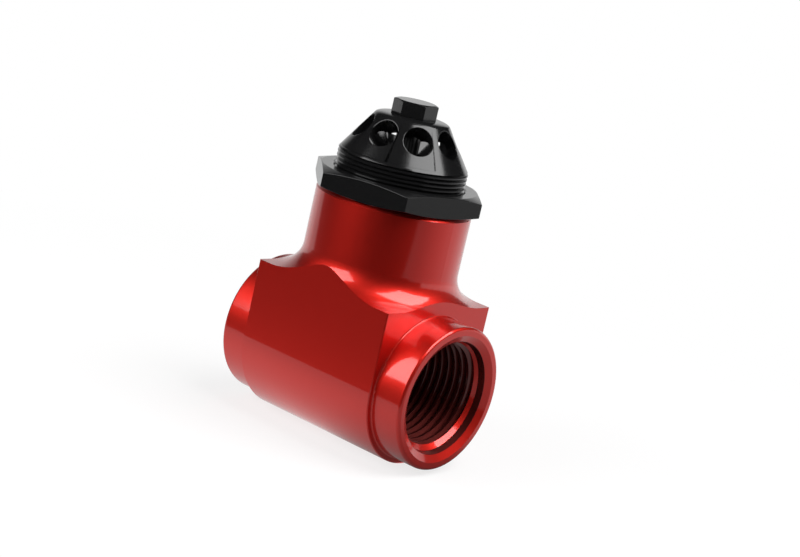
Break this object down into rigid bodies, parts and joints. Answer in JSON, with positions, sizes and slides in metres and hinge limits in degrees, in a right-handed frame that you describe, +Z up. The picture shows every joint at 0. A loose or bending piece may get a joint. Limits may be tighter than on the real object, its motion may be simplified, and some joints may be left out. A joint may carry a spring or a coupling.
{
  "type": "vacuum regulator",
  "caption": "Inline vacuum regulator: red two-port housing with a neck, a black vented screw-in bonnet locked by a jam nut, and a spring-loaded air admission valve inside.",
  "frame": {"origin": "on the lowest line of the round underside, below the point where the port axis and the neck axis cross; this is the bottom centre of the object's box", "axes": "+Z up the neck axis towards the hexagon head, +X along the port axis towards the near port, +Y towards the rear flat; the wide bare flat faces -Y"},
  "size_m": [0.0582, 0.0424, 0.0829],
  "materials": {
    "red_anodised": "satin-gloss red anodised",
    "black_anodised": "satin-gloss black anodised",
    "plain_aluminium": "turned, clear anodised",
    "spring_steel": "bright drawn wire",
    "stainless": "punched and tumbled",
    "bronze": "sintered bronze",
    "nitrile": "matt black rubber"
  },
  "bodies": {
    "housing": {"housing": "red_anodised", "regulating_spring": "spring_steel", "spring_seat": "stainless"},
    "seat_carrier": {"seat_disc": "plain_aluminium", "seat_disc_o_ring": "nitrile", "thrust_washer": "stainless"},
    "bonnet": {"bonnet": "black_anodised", "guide_bolt": "black_anodised", "stop_washer": "stainless", "retaining_clip": "spring_steel"},
    "valve": {"poppet": "plain_aluminium", "poppet_seal": "nitrile", "poppet_bush": "bronze"},
    "jam_nut": {"jam_nut": "black_anodised"}
  },
  "joints": [
    {"name": "seat_travel", "type": "slide", "parent": "housing", "child": "seat_carrier", "axis": [0, 0, 1], "range_m": [-0.002, 0.002], "deforming": ["regulating_spring"]},
    {"name": "bonnet_turn", "type": "hinge", "parent": "seat_carrier", "child": "bonnet", "pos_m": [0, 0, 0.06], "axis": [0, 0, 1], "range_deg": [-720, 720]},
    {"name": "valve_open", "type": "slide", "parent": "seat_carrier", "child": "valve", "axis": [0, 0, 1], "range_m": [-0.003, 0], "stiffness_N_per_m": 800, "springref_m": 0.0125},
    {"name": "jam_nut_turn", "type": "hinge", "parent": "housing", "child": "jam_nut", "pos_m": [0, 0, 0.062], "axis": [0, 0, 1], "range_deg": [0, 360]}
  ],
  "couplings": [
    {"joint": "seat_travel", "follows": "bonnet_turn", "m_per_rad": 0.00015915}
  ]
}
